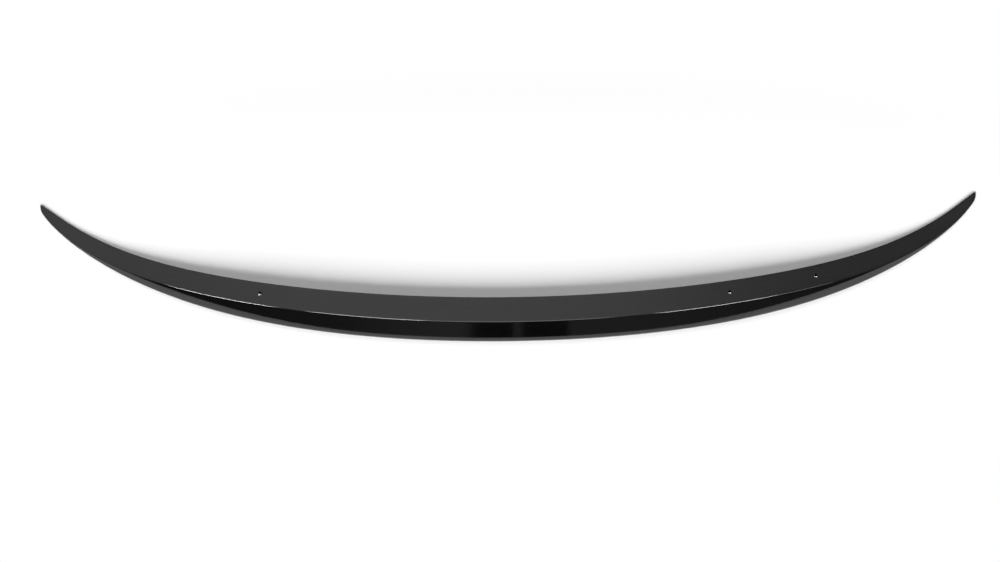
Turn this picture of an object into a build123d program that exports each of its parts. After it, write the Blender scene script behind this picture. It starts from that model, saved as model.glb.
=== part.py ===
from build123d import *
import os
from math import atan2, cos, degrees, radians, sin

# Boot-lid lip spoiler, blow moulded in one hollow piece.
# It lies upside down on its lip, as on a bench: the bonding face looks up, the lip and the undercut rear face
# are towards -Y, the front edge is towards +Y and the two tips are at -X and +X.
# Millimetres and degrees. The origin is under the middle of the part, on the bench.

# Plan, as a long bow whose tips are swept forward
span = 1120.0  # front edge, from tip to tip
bow_even = 97.5  # sweep of the tips from the even curve of the whole bow
bow_shoulder = 43.5  # further sweep from the tighter curve of the shoulders
bow_tip = 29.5  # further sweep from the last turn at the tips

# Cross-section at the middle
bond_depth = 40.8  # bonding face, from its front edge to its rear edge
bond_pitch = 10.0  # fall of the bonding face towards the front
lip_height = 26.0  # from the lip up to the rear edge of the bonding face
lip_radius = 6.0  # round along the lip, on its rear side
toe_radius = 7.0  # round along the lip, on its painted side
lip_split = 225.0  # direction in the section where the two rounds of the lip meet
edge_radius = 1.1  # round along the rear edge of the bonding face
front_thickness = 3.0  # blunt front edge, with broken corners
front_flats = 3  # flats around the front edge
front_wedge = 14.0  # angle between the painted face and the bonding face at the front edge
rear_lean = 33.0  # lean of the rear face at its upper edge
rear_curve = 7.0  # lean that the rear face loses on its way down to the lip
edge_curve = 20.0  # lean that the rear face loses along its upper edge, close to the tips

# How the section changes towards the tips
tip_height = 2.4
tip_thickness = 1.8
tip_depth = 3.0  # depth of the bonding face where the blade ends
tip_curve = 18.0  # further lean that the rear face loses, as it grows rounder
depth_fullness = 2.1  # an ellipse has 2
height_fullness = 4.2
height_fall = 3.0
slim_fall = 0.65  # how fast rounds and slopes shrink with the height

# Hollow inside and its vents
wall = 2.4
solid_tip = 200.0  # solid blade at each end, along the span
vent_diameter = 4.0
vent_overrun = 0.5  # how far a vent is drilled past the wall, into the hollow
vent_share = 0.5  # place across the bonding face, from its front edge
vents_from_left = (79.0,)  # along the span, from the left end of the hollow
vents_from_right = (19.0, 119.0)  # along the span, from the right end of the hollow

# Loft stations from the middle to each end
skin_stations = 8
hollow_stations = 5

half_span = span / 2
half_hollow = half_span - solid_tip
end_share = (1 - (tip_depth / bond_depth) ** 2) ** (1 / depth_fullness)


def facing(angle):
    """Unit vector in a section, at an angle above the forward direction."""
    return Vector(cos(radians(angle)), sin(radians(angle)))


class Station:
    """Sizes of the cross-section that starts at the front edge, at a distance x along the span.

    In the section, the first coordinate runs forward from the front edge of the bonding face and the second
    one runs up from the bench.
    """

    def __init__(self, x):
        share = x / half_span
        self.x = x
        self.y = bow_even * share**2 + bow_shoulder * share**4 + bow_tip * share**6
        sweep = 2 * bow_even * share + 4 * bow_shoulder * share**3 + 6 * bow_tip * share**5
        self.forward = Vector(-sweep / half_span, 1, 0).normalized()
        self.across = Vector(self.forward.Y, -self.forward.X, 0)

        high = (1 - abs(share) ** height_fullness) ** height_fall
        full = (1 - abs(share) ** depth_fullness) ** 0.5
        self.height = tip_height + (lip_height - tip_height) * high
        slim = (self.height / lip_height) ** slim_fall
        self.depth = bond_depth * full
        self.pitch = bond_pitch * slim
        self.slope = (front_wedge - bond_pitch) * slim
        self.front_radius = (tip_thickness + (front_thickness - tip_thickness) * full) / 2
        self.edge_radius = edge_radius * slim
        self.lip_radius = lip_radius * slim
        self.toe_radius = toe_radius * slim
        self.rear_lean = rear_lean - edge_curve * share**8
        self.lip_lean = rear_lean - rear_curve - tip_curve * share**4

        # Outward directions of the bonding face, both edges of the rear face, the lip and the painted face
        self.bond_out = facing(90 - self.pitch)
        self.rear_out = facing(180 - self.rear_lean)
        self.lip_out = facing(180 - self.lip_lean)
        self.low_out = facing(lip_split)
        self.front_out = facing(self.slope - 90)

        # Radius that lets the rear face climb from the lip's round to the edge's round
        toe_shift = self.low_out * (self.lip_radius - self.toe_radius)
        lip_rise = self.toe_radius - toe_shift.Y + self.lip_radius * self.lip_out.Y
        edge_drop = self.edge_radius * (1 - self.rear_out.Y)
        self.rear_radius = (self.height - edge_drop - lip_rise) / (self.rear_out.Y - self.lip_out.Y)

        # Centres of the rounds along the rear edge and the lip, and of the front edge
        bond = facing(180 - self.pitch) * self.depth
        self.front = Vector(0, self.height - self.edge_radius * (1 - self.bond_out.Y) - bond.Y)
        self.edge_centre = self.front + bond - self.bond_out * self.edge_radius
        rear_centre = self.edge_centre + self.rear_out * (self.edge_radius - self.rear_radius)
        self.lip_centre = rear_centre + self.lip_out * (self.rear_radius - self.lip_radius)
        self.toe_centre = self.lip_centre + toe_shift
        self.front_centre = self.front - self.bond_out * self.front_radius
        self.nose = self.front_centre + self.front_out * self.front_radius

        # The painted face leaves the lip at twice the angle of its chord, less its slope in front
        chord = degrees(atan2(self.nose.Y, self.nose.X - self.toe_centre.X))
        self.kick = 2 * chord - self.slope
        self.toe_out = facing(self.kick - 90)

    def plane(self):
        """Upright plane across the bow, with its origin on the bench below the front edge."""
        return Plane(origin=(self.x, self.y + bow_shift, 0), x_dir=self.forward, z_dir=self.across)

    def front_edge(self):
        """Corners of the blunt front edge, from the painted face round to the bonding face."""
        turn = 180 - self.slope - self.pitch
        angles = [self.slope - 90 + turn * flat / front_flats for flat in range(front_flats + 1)]
        return [self.front_centre + facing(angle) * self.front_radius for angle in angles]

    def bond_plane(self, share):
        """Plane on the bonding face, at a share of its depth from the front edge, looking out of the face."""
        spot = self.front + facing(180 - self.pitch) * (self.depth * share)
        foot = Vector(self.x, self.y + bow_shift, spot.Y) + self.forward * spot.X
        out = self.forward * self.bond_out.X + Vector(0, 0, self.bond_out.Y)
        return Plane(origin=foot, x_dir=self.across, z_dir=out)


middle = Station(0.0)
tip = Station(half_span * end_share)
front_reach = tip.y + tip.front_radius * tip.forward.Y
rear_reach = middle.lip_radius - middle.lip_centre.X
bow_shift = (rear_reach - front_reach) / 2


def painted_face(toe, toe_heading, nose, nose_heading):
    """Smooth curve of the painted face, from the lip to the front edge."""
    pull = (nose - toe).length / 3
    Bezier(toe, toe + toe_heading * pull, nose - nose_heading * pull, nose)


def skin(station):
    """Outline of the moulding: bonding face, its rear edge, rear face, lip, painted face and front edge."""
    with BuildSketch(station.plane()) as outline:
        with BuildLine():
            bond = PolarLine(station.front, station.depth, 180 - station.pitch)
            edge = JernArc(bond @ 1, bond % 1, station.edge_radius, 90 + station.pitch - station.rear_lean)
            rear = JernArc(edge @ 1, edge % 1, station.rear_radius, station.rear_lean - station.lip_lean)
            lip = JernArc(rear @ 1, rear % 1, station.lip_radius, lip_split - 180 + station.lip_lean)
            toe = JernArc(lip @ 1, lip % 1, station.toe_radius, 270 - lip_split + station.kick)
            painted_face(toe @ 1, toe % 1, station.nose, facing(station.slope))
            Polyline(*station.front_edge())
        make_face()
    return outline.sketch


def inset(centre, radius, out_a, out_b):
    """Point one wall inside the two faces that meet in a round."""
    return centre + (out_a + out_b) * ((radius - wall) / (1 + out_a.dot(out_b)))


def hollow(station):
    """Outline of the hollow, one wall inside the bonding face, rear face, lip and painted face."""
    front = inset(station.front_centre, station.front_radius, station.bond_out, station.front_out)
    edge = inset(station.edge_centre, station.edge_radius, station.bond_out, station.rear_out)
    rear_foot = station.lip_centre + station.lip_out * (station.lip_radius - wall)
    low_foot = station.lip_centre + station.low_out * (station.lip_radius - wall)
    toe = station.toe_centre + station.toe_out * (station.toe_radius - wall)
    with BuildSketch(station.plane()) as outline:
        with BuildLine():
            Polyline(front, edge, rear_foot, low_foot, toe)
            painted_face(toe, facing(station.kick), front, facing(station.slope))
        make_face()
    return outline.sketch


with BuildPart() as spoiler_body:
    skin_steps = range(-skin_stations, skin_stations + 1)
    skin_places = [tip.x * sin(radians(90 * step / skin_stations)) for step in skin_steps]
    loft(sections=[skin(Station(x)) for x in skin_places])

    hollow_steps = range(-hollow_stations, hollow_stations + 1)
    hollow_places = [half_hollow * step / hollow_stations for step in hollow_steps]
    loft(sections=[hollow(Station(x)) for x in hollow_places], mode=Mode.SUBTRACT)

    vent_places = [inset_x - half_hollow for inset_x in vents_from_left]
    vent_places += [half_hollow - inset_x for inset_x in vents_from_right]
    for x in vent_places:
        with Locations(Station(x).bond_plane(vent_share)):
            Hole(radius=vent_diameter / 2, depth=wall + vent_overrun)

spoiler_body.part.label = "spoiler_body"

os.makedirs("parts", exist_ok=True)
export_step(spoiler_body.part, "parts/spoiler_body.step")
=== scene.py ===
"""Studio scene of a boot-lid lip spoiler that lies upside down on a white floor."""

from __future__ import annotations

import logging
from dataclasses import dataclass, field
from enum import Enum, IntEnum
from math import pi, radians
from typing import Any

import bpy
import numpy as np
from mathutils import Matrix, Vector

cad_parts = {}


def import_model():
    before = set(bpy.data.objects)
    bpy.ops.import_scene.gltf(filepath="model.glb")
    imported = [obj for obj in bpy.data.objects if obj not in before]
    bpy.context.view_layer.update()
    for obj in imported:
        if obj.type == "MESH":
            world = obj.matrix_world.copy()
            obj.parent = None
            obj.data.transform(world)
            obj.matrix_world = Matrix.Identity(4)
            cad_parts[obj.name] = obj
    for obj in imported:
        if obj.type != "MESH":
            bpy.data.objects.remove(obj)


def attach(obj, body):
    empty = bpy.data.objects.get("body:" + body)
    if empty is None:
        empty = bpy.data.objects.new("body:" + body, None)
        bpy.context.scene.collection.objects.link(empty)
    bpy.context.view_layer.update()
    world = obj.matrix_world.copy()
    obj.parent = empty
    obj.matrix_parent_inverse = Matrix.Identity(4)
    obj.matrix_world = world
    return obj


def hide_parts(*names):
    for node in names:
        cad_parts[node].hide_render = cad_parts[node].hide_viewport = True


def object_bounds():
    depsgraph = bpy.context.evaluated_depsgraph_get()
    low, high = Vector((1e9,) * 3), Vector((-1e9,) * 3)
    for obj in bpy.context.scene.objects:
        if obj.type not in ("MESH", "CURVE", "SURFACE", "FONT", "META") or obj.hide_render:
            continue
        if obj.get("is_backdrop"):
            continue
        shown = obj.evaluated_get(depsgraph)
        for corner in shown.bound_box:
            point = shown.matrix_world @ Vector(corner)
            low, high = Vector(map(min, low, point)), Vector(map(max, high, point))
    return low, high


Pair = tuple[float, float]
Triple = tuple[float, float, float]
Colour = tuple[float, float, float, float]
Stops = tuple[Pair, ...]

LOG = logging.getLogger("spoiler")
MM = 0.001
WHITE: Colour = (1.0, 1.0, 1.0, 1.0)
NOISE_MEAN = 0.5


class Finish(IntEnum):
    """Places of the finishes in the skin's list of materials."""

    BARE = 0
    PAINT = 1


class Band(IntEnum):
    """Strips around the outline of a section, in order from the front edge of the bonding face."""

    BOND = 0
    EDGE = 1
    REAR = 2
    LIP = 3
    TOE = 4
    TOP = 5
    FRONT = 6


class Change(Enum):
    """What a tool does to the skin."""

    ADD = "UNION"
    CUT = "DIFFERENCE"


class LampUse(Enum):
    """What a lamp is for: soft light and shadow, or glints on rounded edges."""

    FILL = "fill"
    GLINT = "glint"


@dataclass(frozen=True)
class SpoilerSizes:
    """Sizes of the moulding in millimetres and degrees, the same as in the solid."""

    # Front edge in plan
    span: float = 1120.0
    bow_even: float = 97.5
    bow_shoulder: float = 43.5
    bow_tip: float = 29.5

    # Cross-section at the middle
    bond_depth: float = 40.8
    bond_pitch: float = 10.0
    lip_height: float = 26.0
    lip_radius: float = 6.0
    toe_radius: float = 7.0
    lip_split: float = 225.0
    edge_radius: float = 1.1
    front_thickness: float = 3.0
    front_wedge: float = 14.0
    rear_lean: float = 33.0
    rear_curve: float = 7.0
    edge_curve: float = 20.0

    # How the section changes towards the tips, with the powers of the share that the changes follow
    tip_height: float = 2.4
    tip_thickness: float = 1.8
    tip_depth: float = 3.0
    tip_curve: float = 18.0
    depth_fullness: float = 2.1
    height_fullness: float = 4.2
    height_fall: float = 3.0
    slim_fall: float = 0.65
    edge_power: int = 8
    tip_power: int = 4

    # Vents through the bonding face, with their places along the span from the middle
    vent_radius: float = 2.0
    vent_share: float = 0.5
    vent_places: tuple[float, ...] = (-281.0, 241.0, 341.0)

    def share_at(self, depth: float) -> float:
        """Share of half the span at which the bonding face has a given depth."""
        return (1 - (depth / self.bond_depth) ** 2) ** (1 / self.depth_fullness)


def facing(angle: np.ndarray | float) -> np.ndarray:
    """Unit vectors in a section: the cosine and the sine of each angle.

    Args:
        angle: Angles above the forward direction, in degrees.

    Returns:
        Vectors whose last axis holds the forward and the upward part.
    """
    turn = np.radians(angle)
    return np.stack([np.cos(turn), np.sin(turn)], axis=-1)


class Sections:
    """Cross-sections of the moulding at many places along the span, worked out together.

    Every size is an array with one value for each place. A section's plane stands upright across the bow, and
    its two coordinates run forward from the front edge and up from the floor.
    """

    def __init__(self, sizes: SpoilerSizes, share: np.ndarray) -> None:
        """Works out the sizes of every section.

        Args:
            sizes: Sizes of the moulding.
            share: Places along the span, from -1 at the left tip to 1 at the right tip.
        """
        half = sizes.span / 2
        reach = np.abs(share)
        self.sizes = sizes

        # The front edge in plan is the sum of a square, a fourth power and a sixth power of the share.
        bow = sizes.bow_even * share**2 + sizes.bow_shoulder * share**4 + sizes.bow_tip * share**6
        sweep = 2 * sizes.bow_even * share + 4 * sizes.bow_shoulder * share**3 + 6 * sizes.bow_tip * share**5
        self.foot = np.stack([share * half, bow], axis=-1)
        forward = np.stack([-sweep / half, np.ones_like(share)], axis=-1)
        self.forward = forward / np.linalg.norm(forward, axis=-1, keepdims=True)

        # Depth falls like an ellipse and height like a flatter bell, and rounds follow a power of the height.
        full = np.sqrt(1 - reach**sizes.depth_fullness)
        high = (1 - reach**sizes.height_fullness) ** sizes.height_fall
        self.height = sizes.tip_height + (sizes.lip_height - sizes.tip_height) * high
        slim = (self.height / sizes.lip_height) ** sizes.slim_fall
        self.depth = sizes.bond_depth * full
        self.pitch = sizes.bond_pitch * slim
        self.slope = (sizes.front_wedge - sizes.bond_pitch) * slim
        self.front_radius = (sizes.tip_thickness + (sizes.front_thickness - sizes.tip_thickness) * full) / 2
        self.edge_radius = sizes.edge_radius * slim
        self.lip_radius = sizes.lip_radius * slim
        self.toe_radius = sizes.toe_radius * slim
        self.rear_lean = sizes.rear_lean - sizes.edge_curve * share**sizes.edge_power
        self.lip_lean = sizes.rear_lean - sizes.rear_curve - sizes.tip_curve * share**sizes.tip_power
        self._place_rounds()

    def _place_rounds(self) -> None:
        """Finds the centres of the rounds, from the bonding face over the rear face to the lip and the front.

        Two rounds that meet share an outward direction there, and their centres lie apart along it by the
        difference of their radii.
        """
        bond_out = facing(90 - self.pitch)
        rear_out = facing(180 - self.rear_lean)
        lip_out = facing(180 - self.lip_lean)
        low_out = facing(self.sizes.lip_split)
        toe_shift = low_out * (self.lip_radius - self.toe_radius)[:, None]

        # The rear face has the one radius that climbs from the lip's round to the edge's round.
        lip_rise = self.toe_radius - toe_shift[:, 1] + self.lip_radius * lip_out[:, 1]
        edge_drop = self.edge_radius * (1 - rear_out[:, 1])
        self.rear_radius = (self.height - edge_drop - lip_rise) / (rear_out[:, 1] - lip_out[:, 1])

        bond = facing(180 - self.pitch) * self.depth[:, None]
        front_height = self.height - self.edge_radius * (1 - bond_out[:, 1]) - bond[:, 1]
        self.front = np.stack([np.zeros_like(front_height), front_height], axis=-1)
        self.edge_centre = self.front + bond - bond_out * self.edge_radius[:, None]
        self.rear_centre = self.edge_centre + rear_out * (self.edge_radius - self.rear_radius)[:, None]
        self.lip_centre = self.rear_centre + lip_out * (self.rear_radius - self.lip_radius)[:, None]
        self.toe_centre = self.lip_centre + toe_shift
        self.front_centre = self.front - bond_out * self.front_radius[:, None]
        self.nose = self.front_centre + facing(self.slope - 90) * self.front_radius[:, None]

        # The painted top leaves the lip at twice the angle of its chord, less its slope in front.
        chord = np.degrees(np.arctan2(self.nose[:, 1], self.nose[:, 0] - self.toe_centre[:, 0]))
        self.kick = 2 * chord - self.slope

    @property
    def reach_back(self) -> np.ndarray:
        """How far each section reaches behind the front edge."""
        return self.lip_radius - self.lip_centre[:, 0]

    @staticmethod
    def _arc(
        centre: np.ndarray,
        radius: np.ndarray,
        start: np.ndarray | float,
        end: np.ndarray | float,
        steps: np.ndarray,
    ) -> np.ndarray:
        """Points on one round of every section: its centre plus its radius times an outward direction.

        Args:
            centre: Centre of the round in each section.
            radius: Radius of the round in each section.
            start: Outward direction where the round starts, in degrees.
            end: Outward direction where the round ends, in degrees.
            steps: Shares of the way from the start to the end.

        Returns:
            Points by section and step.
        """
        begin = np.broadcast_to(start, radius.shape)[:, None]
        angle = begin + (np.broadcast_to(end, radius.shape)[:, None] - begin) * steps
        return centre[:, None, :] + radius[:, None, None] * facing(angle)

    def _top(self, steps: np.ndarray) -> np.ndarray:
        """Points on the painted top of every section, on a cubic curve from the lip to the front edge.

        Each inner control point lies a third of the chord from its end of the curve, along the tangent there.

        Args:
            steps: Shares of the way from the lip to the front edge.

        Returns:
            Points by section and step.
        """
        toe = self.toe_centre + facing(self.kick - 90) * self.toe_radius[:, None]
        pull = np.linalg.norm(self.nose - toe, axis=-1, keepdims=True) / 3
        leave = toe + facing(self.kick) * pull
        arrive = self.nose - facing(self.slope) * pull
        t = steps[None, :, None]
        early = (1 - t) ** 3 * toe[:, None, :] + 3 * t * (1 - t) ** 2 * leave[:, None, :]
        late = 3 * t**2 * (1 - t) * arrive[:, None, :] + t**3 * self.nose[:, None, :]
        return early + late

    def outline(self, counts: dict[Band, int]) -> tuple[np.ndarray, np.ndarray]:
        """Closed outline of every section.

        Args:
            counts: Number of points in each band.

        Returns:
            Points by section and place around the outline, and the band that each place begins.
        """
        steps = {band: np.linspace(0, 1, count, endpoint=False) for band, count in counts.items()}
        along = facing(180 - self.pitch) * self.depth[:, None]
        bond = 90 - self.pitch
        rear = 180 - self.rear_lean
        lip = 180 - self.lip_lean
        split = self.sizes.lip_split
        toe = 270 + self.kick
        nose = 270 + self.slope
        front = 450 - self.pitch
        rows = {
            Band.BOND: self.front[:, None, :] + along[:, None, :] * steps[Band.BOND][None, :, None],
            Band.EDGE: self._arc(self.edge_centre, self.edge_radius, bond, rear, steps[Band.EDGE]),
            Band.REAR: self._arc(self.rear_centre, self.rear_radius, rear, lip, steps[Band.REAR]),
            Band.LIP: self._arc(self.lip_centre, self.lip_radius, lip, split, steps[Band.LIP]),
            Band.TOE: self._arc(self.toe_centre, self.toe_radius, split, toe, steps[Band.TOE]),
            Band.TOP: self._top(steps[Band.TOP]),
            Band.FRONT: self._arc(self.front_centre, self.front_radius, nose, front, steps[Band.FRONT]),
        }
        bands = np.concatenate([np.full(counts[band], band) for band in Band])
        return np.concatenate([rows[band] for band in Band], axis=1), bands

    def to_frame(self, points: np.ndarray, shift: float) -> np.ndarray:
        """Places of section points in the shared frame.

        Args:
            points: Forward and upward coordinates, by section and place.
            shift: Distance along Y from the middle of the front edge to the origin.

        Returns:
            Points in millimetres, with X, Y and Z in the last axis.
        """
        plan = self.foot[:, None, :] + self.forward[:, None, :] * points[..., :1]
        return np.concatenate([plan + [0.0, shift], points[..., 1:]], axis=-1)


@dataclass(frozen=True)
class MouldedSkin:
    """Closed skin of the moulding, with its vents and the small rims that punching leaves around them.

    The skin is a grid of sections along the span and places around the outline. Its ends run out to points.
    Lengths are in millimetres.
    """

    sizes: SpoilerSizes = SpoilerSizes()
    stations: int = 420
    cap_rings: int = 28
    cap_depth: float = 12.0
    cap_length: float = 29.5
    cap_turn: float = 0.49
    cap_power: int = 4
    cap_drop: float = 0.4
    cap_reach: float = 0.995
    mist_length: float = 1.6
    vent_depth: float = 6.0
    vent_sides: int = 48
    rim_radii: Pair = (3.2, 2.05)
    rim_height: float = 0.775
    sharp_angle: float = 28.0
    counts: dict[Band, int] = field(
        default_factory=lambda: {
            Band.BOND: 30,
            Band.EDGE: 10,
            Band.REAR: 16,
            Band.LIP: 14,
            Band.TOE: 14,
            Band.TOP: 36,
            Band.FRONT: 12,
        }
    )

    @property
    def shift(self) -> float:
        """Distance along Y that centres the bow's depth on the origin.

        Returns:
            Half of the reach behind the front edge's middle, less half of the reach before it.
        """
        ends = Sections(self.sizes, np.array([0.0, self.sizes.share_at(self.sizes.tip_depth)]))
        front_reach = ends.foot[1, 1] + ends.front_radius[1] * ends.forward[1, 1]
        return float(ends.reach_back[0] - front_reach) / 2

    def _capped(self, grid: np.ndarray) -> np.ndarray:
        """Adds the pointed ends that close both sides of the grid.

        A cap's rings move along the front edge and shrink towards it, slowly at first and faster near the
        point: their scale is 1, less a share of the step and the other share of a power of the step.

        Args:
            grid: Points by section and place around the outline.

        Returns:
            The grid with the rings of a cap at each end.
        """
        step = np.sin(np.linspace(0, np.pi / 2, self.cap_rings + 1)[1:]) * self.cap_reach
        scale = 1 - self.cap_turn * step - (1 - self.cap_turn) * step**self.cap_power
        caps = []
        for ring, inner in ((grid[0], grid[1]), (grid[-1], grid[-2])):
            point = ring[0] - [0.0, 0.0, self.cap_drop]
            along = (ring[0] - inner[0]) / np.linalg.norm(ring[0] - inner[0])
            moved = point + along * (self.cap_length * step)[:, None]
            caps.append(moved[:, None, :] + (ring - point)[None] * scale[:, None, None])
        return np.concatenate([caps[0][::-1], grid, caps[1]])

    def _mesh(self) -> bpy.types.Mesh:
        """Builds the closed grid with its finishes and the mist of paint along the bonding face's edges.

        The sections stand at the sines of even steps, so that they are closest together at the tips.

        Returns:
            The mesh, in metres.
        """
        turn = np.linspace(-np.pi / 2, np.pi / 2, self.stations)
        sections = Sections(self.sizes, np.sin(turn) * self.sizes.share_at(self.cap_depth))
        points, bands = sections.outline(self.counts)
        grid = self._capped(sections.to_frame(points, self.shift)) * MM
        rows, columns = grid.shape[:2]

        index = np.arange(rows * columns).reshape(rows, columns)
        after = np.roll(index, -1, axis=1)
        quads = np.stack([index[1:], after[1:], after[:-1], index[:-1]], axis=-1).reshape(-1, 4)
        ends = [index[0].tolist(), index[-1, ::-1].tolist()]
        mesh = bpy.data.meshes.new("spoiler_skin")
        mesh.from_pydata(grid.reshape(-1, 3).tolist(), [], quads.tolist() + ends)

        bare = np.tile(bands == Band.BOND, rows - 1)
        finish = np.append(np.where(bare, Finish.BARE, Finish.PAINT), [Finish.PAINT] * len(ends))
        mesh.polygons.foreach_set("material_index", finish.astype(np.int32))

        # The mist falls off as an exponential of the distance from the nearer edge of the bonding face.
        place = np.cumsum(bands == Band.BOND) - 1
        share = np.where(bands == Band.BOND, place / self.counts[Band.BOND], 1.0)
        depth = np.pad(sections.depth, self.cap_rings, mode="edge")[:, None]
        away = np.minimum(share, 1 - share)[None, :] * depth
        mist = mesh.attributes.new("mist", "FLOAT", "POINT")
        mist.data.foreach_set("value", np.exp(-away / self.mist_length).astype(np.float32).ravel())
        return mesh

    def _turned(self, name: str, profile: np.ndarray) -> bpy.types.Object:
        """Builds the same turned body at every vent: a profile carried round the normal of the bonding face.

        Args:
            name: Name of the object.
            profile: Radius and height of each corner, in order from the lowest to the highest.

        Returns:
            The bodies as one object.
        """
        places = np.array(self.sizes.vent_places) / (self.sizes.span / 2)
        sections = Sections(self.sizes, places)
        inset = (sections.depth * self.sizes.vent_share)[:, None]
        spot = sections.front + facing(180 - sections.pitch) * inset
        foot = sections.to_frame(spot[:, None, :], self.shift)[:, 0]
        tip = sections.to_frame((spot + facing(90 - sections.pitch))[:, None, :], self.shift)[:, 0]
        axis = tip - foot
        across = np.stack([sections.forward[:, 1], -sections.forward[:, 0], np.zeros(len(places))], axis=-1)
        other = np.cross(axis, across)

        turn = np.linspace(0, 2 * np.pi, self.vent_sides, endpoint=False)[None, :, None]
        spokes = np.cos(turn) * across[:, None, :] + np.sin(turn) * other[:, None, :]
        radius = profile[None, :, None, None, 0]
        height = profile[None, :, None, None, 1]
        rings = spokes[:, None] * radius + axis[:, None, None] * height
        points = (foot[:, None, None] + rings) * MM

        index = np.arange(points[..., 0].size).reshape(points.shape[:3])
        after = np.roll(index, -1, axis=2)
        sides = np.stack([index[:, :-1], after[:, :-1], after[:, 1:], index[:, 1:]], axis=-1).reshape(-1, 4)
        ends = index[:, 0, ::-1].tolist() + index[:, -1].tolist()
        mesh = bpy.data.meshes.new(name)
        mesh.from_pydata(points.reshape(-1, 3).tolist(), [], sides.tolist() + ends)
        made = bpy.data.objects.new(name, mesh)
        bpy.context.scene.collection.objects.link(made)
        return made

    @staticmethod
    def _combine(skin: bpy.types.Object, tool: bpy.types.Object, change: Change) -> None:
        """Adds a tool to the skin or cuts it out, and removes the tool.

        Args:
            skin: Object that is changed.
            tool: Object that is used up.
            change: What the tool does.
        """
        step = skin.modifiers.new(tool.name, "BOOLEAN")
        step.operation = change.value
        step.solver = "EXACT"
        step.object = tool
        mesh = bpy.data.meshes.new_from_object(skin.evaluated_get(bpy.context.evaluated_depsgraph_get()))
        skin.modifiers.clear()
        skin.data = mesh
        bpy.data.objects.remove(tool)

    def build(self, finishes: dict[Finish, bpy.types.Material]) -> bpy.types.Object:
        """Builds the skin as a piece of the scene.

        Args:
            finishes: Material for each finish.

        Returns:
            The skin, riding on the frame in place of the solid.
        """
        skin = bpy.data.objects.new("spoiler_skin", self._mesh())
        bpy.context.scene.collection.objects.link(skin)
        for finish in Finish:
            skin.data.materials.append(finishes[finish])

        # A rim is a low cone on the face, and its bore starts above it and ends inside the moulding.
        wide, narrow = self.rim_radii
        rim = np.array([[wide, -self.rim_height], [wide, 0.0], [narrow, self.rim_height]])
        radius = self.sizes.vent_radius
        bore = np.array([[radius, -self.vent_depth], [radius, 2 * self.rim_height]])
        self._combine(skin, self._turned("vent_rims", rim), Change.ADD)
        self._combine(skin, self._turned("vent_bores", bore), Change.CUT)

        mesh = skin.data
        mesh.polygons.foreach_set("use_smooth", np.ones(len(mesh.polygons), dtype=bool))
        mesh.set_sharp_from_angle(angle=radians(self.sharp_angle))
        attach(skin, "root")
        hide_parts("spoiler_body")
        return skin


class Signal:
    """Output of a shader node that takes part in arithmetic."""

    def __init__(self, graph: Graph, socket: bpy.types.NodeSocket) -> None:
        """Keeps the graph that the node belongs to and the node's socket."""
        self.graph = graph
        self.socket = socket

    def _math(self, operation: str, first: Any, second: Any) -> Signal:
        """Adds a Math node on two signals or numbers."""
        return self.graph.node("ShaderNodeMath", {0: first, 1: second}, operation=operation)

    def __add__(self, other: Any) -> Signal:
        """This signal plus another value."""
        return self._math("ADD", self, other)

    def __radd__(self, other: Any) -> Signal:
        """Another value plus this signal."""
        return self._math("ADD", other, self)

    def __sub__(self, other: Any) -> Signal:
        """This signal less another value."""
        return self._math("SUBTRACT", self, other)

    def __rsub__(self, other: Any) -> Signal:
        """Another value less this signal."""
        return self._math("SUBTRACT", other, self)

    def __mul__(self, other: Any) -> Signal:
        """This signal times another value."""
        return self._math("MULTIPLY", self, other)

    def __rmul__(self, other: Any) -> Signal:
        """Another value times this signal."""
        return self._math("MULTIPLY", other, self)

    def __pow__(self, other: Any) -> Signal:
        """A power of this signal."""
        return self._math("POWER", self, other)

    def largest(self, other: Any) -> Signal:
        """The larger of this signal and another value."""
        return self._math("MAXIMUM", self, other)

    def ramp(self, low: float, high: float, start: float = 0.0, end: float = 1.0) -> Signal:
        """Smooth step from a start to an end value, between a low and a high value of this signal."""
        inputs = {"Value": self, "From Min": low, "From Max": high, "To Min": start, "To Max": end}
        return self.graph.node("ShaderNodeMapRange", inputs, interpolation_type="SMOOTHSTEP")


@dataclass(frozen=True)
class Pattern:
    """Noise pattern of a finish: its scale per metre, its detail and a further scale along each axis."""

    scale: float
    detail: float
    stretch: Triple = (1.0, 1.0, 1.0)


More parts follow.
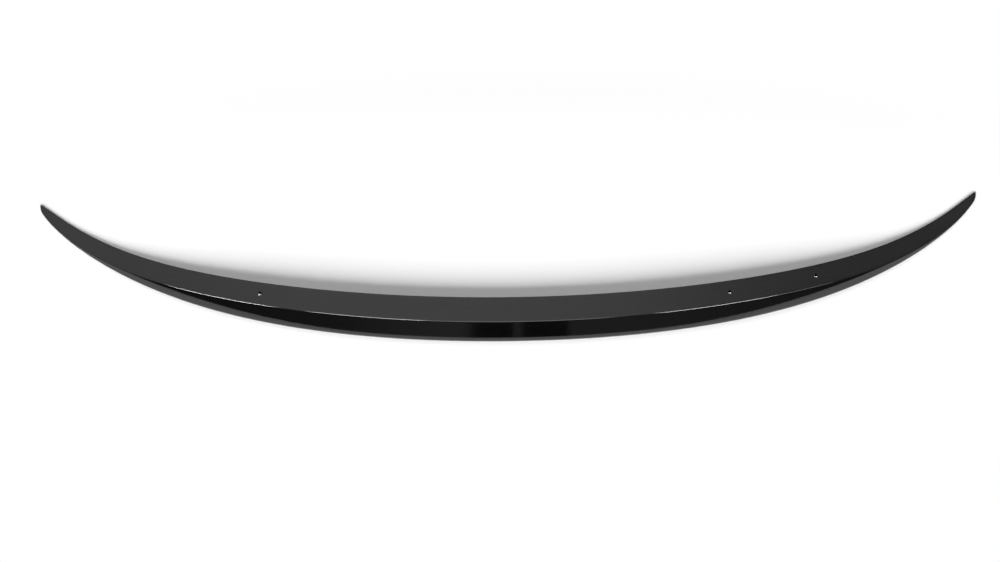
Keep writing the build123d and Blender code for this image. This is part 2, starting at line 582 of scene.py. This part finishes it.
class Graph:
    """Shader graph of a material or of the world."""

    def __init__(self, tree: bpy.types.NodeTree) -> None:
        """Takes over a node tree and empties it."""
        self.tree = tree
        tree.nodes.clear()

    @staticmethod
    def _set_stops(ramp: bpy.types.ColorRamp, stops: Stops) -> None:
        """Gives a colour ramp grey stops that run smoothly into each other.

        Args:
            ramp: New ramp, with a stop at 0 and a stop at 1.
            stops: Place and grey level of each stop, in order from 0 to 1.
        """
        ramp.interpolation = "B_SPLINE"
        for place, _ in stops[1:-1]:
            ramp.elements.new(place)
        for element, (_, level) in zip(ramp.elements, stops, strict=True):
            element.color = (level, level, level, 1.0)

    def node(
        self,
        kind: str,
        inputs: dict[Any, Any] | None = None,
        output: Any = 0,
        stops: Stops = (),
        **settings: Any,
    ) -> Signal:
        """Adds any node.

        Args:
            kind: Type name of the node.
            inputs: Signals or plain values by input name or number.
            output: Name or number of the output to hand back.
            stops: Stops of a colour ramp.
            **settings: Properties of the node.

        Returns:
            The chosen output, or the first input of a node that has no outputs.
        """
        made = self.tree.nodes.new(kind)
        if stops:
            self._set_stops(made.color_ramp, stops)
        for name, value in settings.items():
            setattr(made, name, value)
        for key, value in (inputs or {}).items():
            if isinstance(value, Signal):
                self.tree.links.new(value.socket, made.inputs[key])
            else:
                made.inputs[key].default_value = value
        return Signal(self, made.outputs[output] if len(made.outputs) else made.inputs[0])

    def axes(self, vector: Signal) -> tuple[Signal, Signal, Signal]:
        """The three parts of a vector signal."""
        split = self.node("ShaderNodeSeparateXYZ", {0: vector}).socket.node
        return tuple(Signal(self, socket) for socket in split.outputs)

    def noise(self, place: Signal, pattern: Pattern) -> Signal:
        """Adds a noise pattern.

        Args:
            place: Place on the piece, in metres.
            pattern: Kind of noise.

        Returns:
            Noise from 0 to 1.
        """
        moved = self.node("ShaderNodeMapping", {"Vector": place, "Scale": pattern.stretch})
        inputs = {"Vector": moved, "Scale": pattern.scale, "Detail": pattern.detail}
        return self.node("ShaderNodeTexNoise", inputs)


@dataclass(frozen=True)
class GlossPaint:
    """Black gloss paint with a faint orange peel and settled dust."""

    colour: Colour = (0.0012, 0.0012, 0.0013, 1.0)
    refraction: float = 1.62
    smooth: float = 0.03
    dusty: float = 0.09
    dust: Pattern = Pattern(40.0, 3.0, (0.4, 1.0, 1.0))
    dust_limits: Pair = (0.35, 0.8)
    peel: Pattern = Pattern(260.0, 1.0)
    peel_strength: float = 0.025
    peel_height: float = 0.0005

    def build(self) -> bpy.types.Material:
        """Makes the material, whose roughness grows with the dust.

        Returns:
            The material.
        """
        made = bpy.data.materials.new("gloss_paint")
        made.use_nodes = True
        graph = Graph(made.node_tree)
        place = graph.node("ShaderNodeTexCoord", output="Object")
        peel = graph.noise(place, self.peel)
        dust = graph.noise(place, self.dust).ramp(*self.dust_limits)
        bump = graph.node(
            "ShaderNodeBump",
            {"Strength": self.peel_strength, "Distance": self.peel_height, "Height": peel},
        )
        surface = graph.node(
            "ShaderNodeBsdfPrincipled",
            {
                "Base Color": self.colour,
                "Roughness": self.smooth + dust * (self.dusty - self.smooth),
                "IOR": self.refraction,
                "Normal": bump,
            },
        )
        graph.node("ShaderNodeOutputMaterial", {"Surface": surface})
        return made


@dataclass(frozen=True)
class BarePlastic:
    """Bare black plastic of the bonding face: satin and finely grained.

    It has flow marks along the span, slow patches of tone and a mist of paint at its edges.
    """

    dark: float = 0.0035
    light: float = 0.0065
    blue: float = 1.03
    refraction: float = 1.5
    satin: float = 0.28
    polished: float = 0.2
    flow: Pattern = Pattern(60.0, 4.0, (0.12, 1.0, 1.0))
    flow_share: float = 0.5
    flow_roughness: float = 0.08
    patch: Pattern = Pattern(9.0, 2.0)
    patch_limits: Pair = (0.3, 0.7)
    grain: Pattern = Pattern(1400.0, 2.0)
    grain_strength: float = 0.12
    grain_height: float = 0.0001

    def build(self) -> bpy.types.Material:
        """Makes the material, whose tone follows the marks and patches and which the mist makes smoother.

        Returns:
            The material.
        """
        made = bpy.data.materials.new("bare_plastic")
        made.use_nodes = True
        graph = Graph(made.node_tree)
        place = graph.node("ShaderNodeTexCoord", output="Object")
        mist = graph.node("ShaderNodeAttribute", output="Fac", attribute_name="mist")
        grain = graph.noise(place, self.grain)
        flow = graph.noise(place, self.flow)
        patch = graph.noise(place, self.patch).ramp(*self.patch_limits)
        marks = self.flow_share * flow + (1 - self.flow_share) * patch
        tone = self.dark + marks * (self.light - self.dark)
        colour = graph.node("ShaderNodeCombineColor", {0: tone, 1: tone, 2: tone * self.blue})
        uneven = self.satin + self.flow_roughness * (flow - NOISE_MEAN)
        rough = uneven - mist * (self.satin - self.polished)
        bump = graph.node(
            "ShaderNodeBump",
            {"Strength": self.grain_strength, "Distance": self.grain_height, "Height": grain},
        )
        surface = graph.node(
            "ShaderNodeBsdfPrincipled",
            {"Base Color": colour, "Roughness": rough, "IOR": self.refraction, "Normal": bump},
        )
        graph.node("ShaderNodeOutputMaterial", {"Surface": surface})
        return made


@dataclass(frozen=True)
class Softbox:
    """Rectangular studio lamp that faces the line along the object's span, straight across from its place.

    Its level is its radiance, where a white surface in plain light has 1.
    """

    name: str
    place: Triple
    size: Pair
    level: float
    use: LampUse

    def build(self) -> None:
        """Makes the lamp, whose power is its radiance times pi and its area."""
        lamp = bpy.data.lights.new(self.name, "AREA")
        lamp.shape = "RECTANGLE"
        lamp.size, lamp.size_y = self.size
        lamp.energy = self.level * pi * self.size[0] * self.size[1]
        made = bpy.data.objects.new(self.name, lamp)
        made.location = self.place
        aim = Vector((0.0, -self.place[1], -self.place[2]))
        made.rotation_euler = aim.to_track_quat("-Z", "Y").to_euler()
        made.visible_camera = False
        made.visible_glossy = self.use is LampUse.GLINT
        made.visible_diffuse = self.use is LampUse.FILL
        bpy.context.scene.collection.objects.link(made)


@dataclass(frozen=True)
class Studio:
    """White floor, lamps and the room that the paint mirrors.

    One large lamp in front gives the light and the shadow. The strips above show only in mirrored light and
    give the bright line along the rear edge. The room is bright behind the object on the left and dark on
    the right. In front it is dark, with a few paler things and two darker panels low down.

    A place in the room is a direction: its side runs from 0 at the left to 1 at the right, its depth from -1
    in front to 1 behind, and its height from 0 at the floor to 1 above. Stops give the level at each side.
    A pair of sides, depths or heights gives where a level starts to change and where it has changed.
    """

    softboxes: tuple[Softbox, ...] = (
        Softbox("front_softbox", (0.0, -6.24, 2.64), (8.16, 2.64), 17.8, LampUse.FILL),
        Softbox("far_left_strip", (-1.635, -0.39, 2.08), (1.03, 0.6), 60.0, LampUse.GLINT),
        Softbox("left_strip", (-0.568, -0.39, 2.08), (0.555, 0.6), 30.0, LampUse.GLINT),
        Softbox("middle_strip", (0.052, -0.39, 2.08), (0.705, 0.6), 6.5, LampUse.GLINT),
        Softbox("right_strip", (0.988, -0.39, 2.08), (0.735, 0.6), 38.0, LampUse.GLINT),
        Softbox("far_right_strip", (1.7, -0.39, 2.08), (0.69, 0.6), 8.0, LampUse.GLINT),
    )

    # Floor, which is plainly white outside a ring around the object
    floor_half: float = 9.0
    floor_white: float = 0.905
    floor_roughness: float = 0.9
    clear_ring: Pair = (1.08, 1.35)
    ring_radii: Pair = (0.68, 0.26)

    # Room behind the object and above it
    room_level: float = 0.07
    back_depths: Pair = (-0.05, 0.6)
    back_heights: Pair = (0.12, 0.38)
    back_stops: Stops = (
        (0.0, 0.29),
        (0.4, 0.43),
        (0.48, 0.88),
        (0.53, 0.88),
        (0.57, 0.04),
        (1.0, 0.0),
    )
    above_level: float = 0.3
    above_heights: Pair = (0.3, 0.95)
    above_sides: Pair = (0.52, 0.64)
    above_right: float = 0.48

    # Room in front of the object
    front_heights: Pair = (0.55, 0.2)
    front_stops: Stops = (
        (0.0, 0.03),
        (0.2, 0.05),
        (0.33, 0.06),
        (0.4, 0.15),
        (0.45, 0.2),
        (0.48, 0.18),
        (0.55, 0.15),
        (0.66, 0.13),
        (0.72, 0.1),
        (0.85, 0.08),
        (1.0, 0.03),
    )
    dark_panels: tuple[Pair, ...] = ((0.47, 0.5095), (0.517, 0.5605))
    panel_blur: float = 0.003
    panel_shade: float = 0.97

    def _floor(self, height: float) -> None:
        """Makes the floor, white all round and shaded by the object near it.

        The distance from the object is measured in radii of an ellipse around it.

        Args:
            height: Height of the floor.
        """
        half = self.floor_half
        plan = ((-half, -half), (half, -half), (half, half), (-half, half))
        mesh = bpy.data.meshes.new("floor")
        mesh.from_pydata([(x, y, height) for x, y in plan], [], [range(len(plan))])
        made = bpy.data.objects.new("floor", mesh)
        bpy.context.scene.collection.objects.link(made)

        material = bpy.data.materials.new("white_floor")
        material.use_nodes = True
        graph = Graph(material.node_tree)
        x, y, _ = graph.axes(graph.node("ShaderNodeTexCoord", output="Object"))
        away = ((x * (1 / self.ring_radii[0])) ** 2.0 + (y * (1 / self.ring_radii[1])) ** 2.0) ** 0.5
        far = away.ramp(*self.clear_ring)
        white = (self.floor_white, self.floor_white, self.floor_white, 1.0)
        near = graph.node(
            "ShaderNodeBsdfPrincipled",
            {"Base Color": white, "Roughness": self.floor_roughness},
        )
        plain = graph.node("ShaderNodeEmission", {"Color": WHITE, "Strength": 1.0})
        shown = self._shown_ray(graph)
        surface = graph.node("ShaderNodeMixShader", {0: shown * far, 1: near, 2: plain})
        graph.node("ShaderNodeOutputMaterial", {"Surface": surface})
        mesh.materials.append(material)
        made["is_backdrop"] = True

    @staticmethod
    def _shown_ray(graph: Graph) -> Signal:
        """Tells the rays that show the background: those from the camera, a mirror or a glass.

        Args:
            graph: Graph of the material that asks.

        Returns:
            1 for such a ray, and 0 for any other.
        """
        camera = graph.node("ShaderNodeLightPath", output="Is Camera Ray")
        outputs = camera.socket.node.outputs
        mirror = Signal(graph, outputs["Is Glossy Ray"])
        return camera.largest(mirror).largest(Signal(graph, outputs["Is Transmission Ray"]))

    def _room(self) -> None:
        """Makes the room, white to the camera.

        Its level is the sum of the wall behind, the light above, the things low in front and a plain level
        everywhere else.
        """
        world = bpy.data.worlds.new("room")
        bpy.context.scene.world = world
        world.use_nodes = True
        graph = Graph(world.node_tree)
        x, y, z = graph.axes(graph.node("ShaderNodeTexCoord", output="Generated"))
        side = 0.5 + 0.5 * x
        back = y.ramp(*self.back_depths)
        above = z.ramp(*self.above_heights) * side.ramp(*self.above_sides, 1.0, self.above_right)
        low_front = (1 - back) * z.ramp(*self.front_heights)
        wall = graph.node("ShaderNodeValToRGB", {0: side}, stops=self.back_stops)
        wall = wall * z.ramp(*self.back_heights)
        dark = 0.0
        for start, end in self.dark_panels:
            entered = side.ramp(start - self.panel_blur, start + self.panel_blur)
            dark = dark + entered * side.ramp(end + self.panel_blur, end - self.panel_blur)
        things = graph.node("ShaderNodeValToRGB", {0: side}, stops=self.front_stops)
        things = things * (1 - self.panel_shade * dark)
        level = back * wall + above * self.above_level
        level = level + low_front * things + self.room_level * (1 - low_front)
        seen = graph.node("ShaderNodeLightPath", output="Is Camera Ray")
        strength = seen + (1 - seen) * level
        surface = graph.node("ShaderNodeBackground", {"Color": WHITE, "Strength": strength})
        graph.node("ShaderNodeOutputWorld", {"Surface": surface})

    def build(self, height: float) -> None:
        """Sets the studio up.

        Args:
            height: Height of the floor.
        """
        self._floor(height)
        self._room()
        for softbox in self.softboxes:
            softbox.build()


@dataclass(frozen=True)
class Viewpoint:
    """Camera two metres away, about fifty degrees above the floor, on the side of the lip."""

    place: Triple = (-0.03794, -1.3046, 1.53209)
    target: Triple = (-0.01378, -0.01924, 0.0)
    lens: float = 62.7
    sensor: float = 36.0

    def build(self) -> None:
        """Makes the camera and gives it to the scene."""
        data = bpy.data.cameras.new("camera")
        data.sensor_fit = "HORIZONTAL"
        data.sensor_width = self.sensor
        data.lens = self.lens
        made = bpy.data.objects.new("camera", data)
        made.location = self.place
        aim = Vector(self.target) - Vector(self.place)
        made.rotation_euler = aim.to_track_quat("-Z", "Y").to_euler()
        bpy.context.scene.collection.objects.link(made)
        bpy.context.scene.camera = made


def plain_box(box: Any) -> list[list[float]]:
    """Two corners of a box as plain lists of numbers."""
    return [[float(value) for value in corner] for corner in box]


def main() -> None:
    """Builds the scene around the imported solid."""
    logging.basicConfig(level=logging.INFO)
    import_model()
    solid_box = plain_box(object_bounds())
    bpy.context.scene.view_settings.view_transform = "Standard"

    finishes = {Finish.BARE: BarePlastic().build(), Finish.PAINT: GlossPaint().build()}
    skin = MouldedSkin().build(finishes)
    LOG.info("%s: %d faces", skin.name, len(skin.data.polygons))
    studio = Studio()
    studio.build(solid_box[0][2])
    LOG.info("studio: floor, room and %d lamps", len(studio.softboxes))
    Viewpoint().build()
    LOG.info("camera: in place")


if __name__ == "__main__":
    main()
